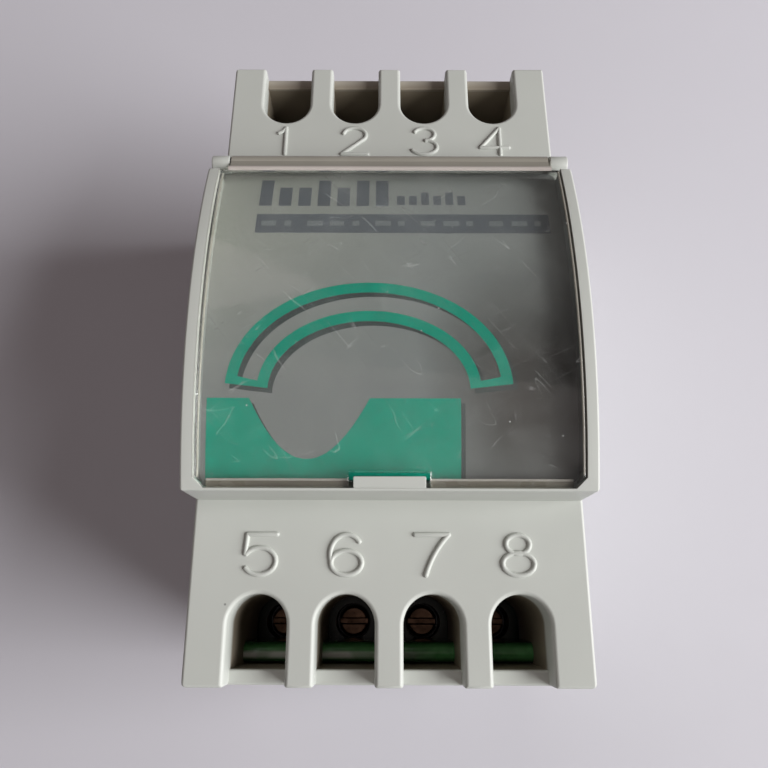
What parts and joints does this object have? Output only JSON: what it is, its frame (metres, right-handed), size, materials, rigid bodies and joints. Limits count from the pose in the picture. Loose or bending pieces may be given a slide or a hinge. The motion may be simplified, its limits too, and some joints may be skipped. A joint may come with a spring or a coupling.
{
  "type": "industrial control relay",
  "caption": "Relay module for a 35 mm rail: grey case with screw terminals at both ends, hinged clear cover over a label card, sliding rail clip.",
  "frame": {"origin": "centre of the face that sits on the rail", "axes": "+X along the rail, to the right as the numbers read; +Y towards terminals 1 to 4; +Z out of the front"},
  "size_m": [0.045, 0.0862, 0.06],
  "materials": {
    "housing_plastic": "moulded light warm grey polycarbonate blend, fine matt grain",
    "clip_plastic": "moulded dark grey acetal, slightly waxy",
    "spring_steel": "drawn spring wire, bright",
    "clear_cover": "clear moulded polycarbonate, faint scratches",
    "printed_card": "printed card, grey with green and dark grey marks",
    "terminal_plastic": "glossy dark green polyamide",
    "screw_metal": "bronzed steel screw, slotted",
    "cage_metal": "nickel-plated steel",
    "contact_brass": "tinned brass strip",
    "contact_copper": "beryllium copper blade with a silver contact",
    "board_laminate": "glass-fibre laminate with green solder resist",
    "black_plastic": "moulded black thermoset",
    "relay_case_plastic": "moulded blue dust case",
    "bobbin_plastic": "natural polyester bobbin",
    "enamelled_copper": "enamelled copper wire",
    "soft_iron": "zinc-plated soft iron",
    "laminated_iron": "varnished silicon steel laminations",
    "film_capacitor": "yellow capacitor box",
    "varistor_coating": "blue epoxy coating",
    "capacitor_sleeve": "dark heat-shrunk sleeve on an aluminium can",
    "crystal_can": "drawn nickel-plated can"
  },
  "bodies": {
    "housing": {"front_housing": "housing_plastic", "rear_base": "housing_plastic", "clip_spring": "spring_steel", "label_card": "printed_card", "terminal_block_1_to_4": "terminal_plastic", "terminal_block_5_to_8": "terminal_plastic", "terminal_strip_1": "contact_brass", "terminal_strip_2": "contact_brass", "terminal_strip_3": "contact_brass", "terminal_strip_4": "contact_brass", "terminal_strip_5": "contact_brass", "terminal_strip_6": "contact_brass", "terminal_strip_7": "contact_brass", "terminal_strip_8": "contact_brass", "power_board": "board_laminate", "logic_board": "board_laminate", "board_link": "black_plastic", "relay_base": "black_plastic", "relay_case": "relay_case_plastic", "relay_bobbin": "bobbin_plastic", "relay_winding": "enamelled_copper", "relay_core": "soft_iron", "relay_yoke": "soft_iron", "relay_armature_spring": "spring_steel", "relay_rest_contact": "contact_brass", "relay_working_contact": "contact_brass", "transformer_core": "laminated_iron", "transformer_bobbin": "bobbin_plastic", "transformer_primary": "enamelled_copper", "transformer_secondary": "enamelled_copper", "filter_capacitor": "capacitor_sleeve", "suppression_capacitor": "film_capacitor", "fuse": "black_plastic", "varistor": "varistor_coating", "bridge_rectifier": "black_plastic", "crystal": "crystal_can", "controller_chip": "black_plastic", "optocoupler": "black_plastic"},
    "cover": {"window_cover": "clear_cover"},
    "clip": {"din_clip": "clip_plastic"},
    "armature": {"relay_armature": "soft_iron", "relay_moving_contact": "contact_copper"},
    "screw_1": {"terminal_screw_1": "screw_metal"},
    "cage_1": {"terminal_cage_1": "cage_metal"},
    "screw_2": {"terminal_screw_2": "screw_metal"},
    "cage_2": {"terminal_cage_2": "cage_metal"},
    "screw_3": {"terminal_screw_3": "screw_metal"},
    "cage_3": {"terminal_cage_3": "cage_metal"},
    "screw_4": {"terminal_screw_4": "screw_metal"},
    "cage_4": {"terminal_cage_4": "cage_metal"},
    "screw_5": {"terminal_screw_5": "screw_metal"},
    "cage_5": {"terminal_cage_5": "cage_metal"},
    "screw_6": {"terminal_screw_6": "screw_metal"},
    "cage_6": {"terminal_cage_6": "cage_metal"},
    "screw_7": {"terminal_screw_7": "screw_metal"},
    "cage_7": {"terminal_cage_7": "cage_metal"},
    "screw_8": {"terminal_screw_8": "screw_metal"},
    "cage_8": {"terminal_cage_8": "cage_metal"}
  },
  "joints": [
    {"name": "cover_hinge", "type": "hinge", "parent": "housing", "child": "cover", "pos_m": [0, 0.0203, 0.0496], "axis": [-1, 0, 0], "range_deg": [0, 110]},
    {"name": "clip_slide", "type": "slide", "parent": "housing", "child": "clip", "axis": [0, -1, 0], "range_m": [0, 0.0035], "stiffness_N_per_m": 1500, "springref_m": -0.004, "deforming": ["clip_spring"]},
    {"name": "armature_rock", "type": "hinge", "parent": "housing", "child": "armature", "pos_m": [-0.0033, -0.015, 0.0221], "axis": [0, -1, 0], "range_deg": [0, 4.5], "stiffness_Nm_per_rad": 0.004, "springref_deg": -5.73, "deforming": ["relay_armature_spring"]},
    {"name": "screw_1_turn", "type": "hinge", "parent": "housing", "child": "screw_1", "pos_m": [-0.01465, 0.0352, 0.0185], "axis": [0, 0, -1], "range_deg": [0, 1800]},
    {"name": "cage_1_lift", "type": "slide", "parent": "housing", "child": "cage_1", "axis": [0, 0, 1], "range_m": [0, 0.0025]},
    {"name": "screw_2_turn", "type": "hinge", "parent": "housing", "child": "screw_2", "pos_m": [-0.00488, 0.0352, 0.0185], "axis": [0, 0, -1], "range_deg": [0, 1800]},
    {"name": "cage_2_lift", "type": "slide", "parent": "housing", "child": "cage_2", "axis": [0, 0, 1], "range_m": [0, 0.0025]},
    {"name": "screw_3_turn", "type": "hinge", "parent": "housing", "child": "screw_3", "pos_m": [0.00488, 0.0352, 0.0185], "axis": [0, 0, -1], "range_deg": [0, 1800]},
    {"name": "cage_3_lift", "type": "slide", "parent": "housing", "child": "cage_3", "axis": [0, 0, 1], "range_m": [0, 0.0025]},
    {"name": "screw_4_turn", "type": "hinge", "parent": "housing", "child": "screw_4", "pos_m": [0.01465, 0.0352, 0.0185], "axis": [0, 0, -1], "range_deg": [0, 1800]},
    {"name": "cage_4_lift", "type": "slide", "parent": "housing", "child": "cage_4", "axis": [0, 0, 1], "range_m": [0, 0.0025]},
    {"name": "screw_5_turn", "type": "hinge", "parent": "housing", "child": "screw_5", "pos_m": [-0.01465, -0.0352, 0.0185], "axis": [0, 0, -1], "range_deg": [0, 1800]},
    {"name": "cage_5_lift", "type": "slide", "parent": "housing", "child": "cage_5", "axis": [0, 0, 1], "range_m": [0, 0.0025]},
    {"name": "screw_6_turn", "type": "hinge", "parent": "housing", "child": "screw_6", "pos_m": [-0.00488, -0.0352, 0.0185], "axis": [0, 0, -1], "range_deg": [0, 1800]},
    {"name": "cage_6_lift", "type": "slide", "parent": "housing", "child": "cage_6", "axis": [0, 0, 1], "range_m": [0, 0.0025]},
    {"name": "screw_7_turn", "type": "hinge", "parent": "housing", "child": "screw_7", "pos_m": [0.00488, -0.0352, 0.0185], "axis": [0, 0, -1], "range_deg": [0, 1800]},
    {"name": "cage_7_lift", "type": "slide", "parent": "housing", "child": "cage_7", "axis": [0, 0, 1], "range_m": [0, 0.0025]},
    {"name": "screw_8_turn", "type": "hinge", "parent": "housing", "child": "screw_8", "pos_m": [0.01465, -0.0352, 0.0185], "axis": [0, 0, -1], "range_deg": [0, 1800]},
    {"name": "cage_8_lift", "type": "slide", "parent": "housing", "child": "cage_8", "axis": [0, 0, 1], "range_m": [0, 0.0025]}
  ],
  "couplings": [
    {"joint": "screw_1_turn", "follows": "cage_1_lift", "rad_per_m": 12566},
    {"joint": "screw_2_turn", "follows": "cage_2_lift", "rad_per_m": 12566},
    {"joint": "screw_3_turn", "follows": "cage_3_lift", "rad_per_m": 12566},
    {"joint": "screw_4_turn", "follows": "cage_4_lift", "rad_per_m": 12566},
    {"joint": "screw_5_turn", "follows": "cage_5_lift", "rad_per_m": 12566},
    {"joint": "screw_6_turn", "follows": "cage_6_lift", "rad_per_m": 12566},
    {"joint": "screw_7_turn", "follows": "cage_7_lift", "rad_per_m": 12566},
    {"joint": "screw_8_turn", "follows": "cage_8_lift", "rad_per_m": 12566}
  ]
}
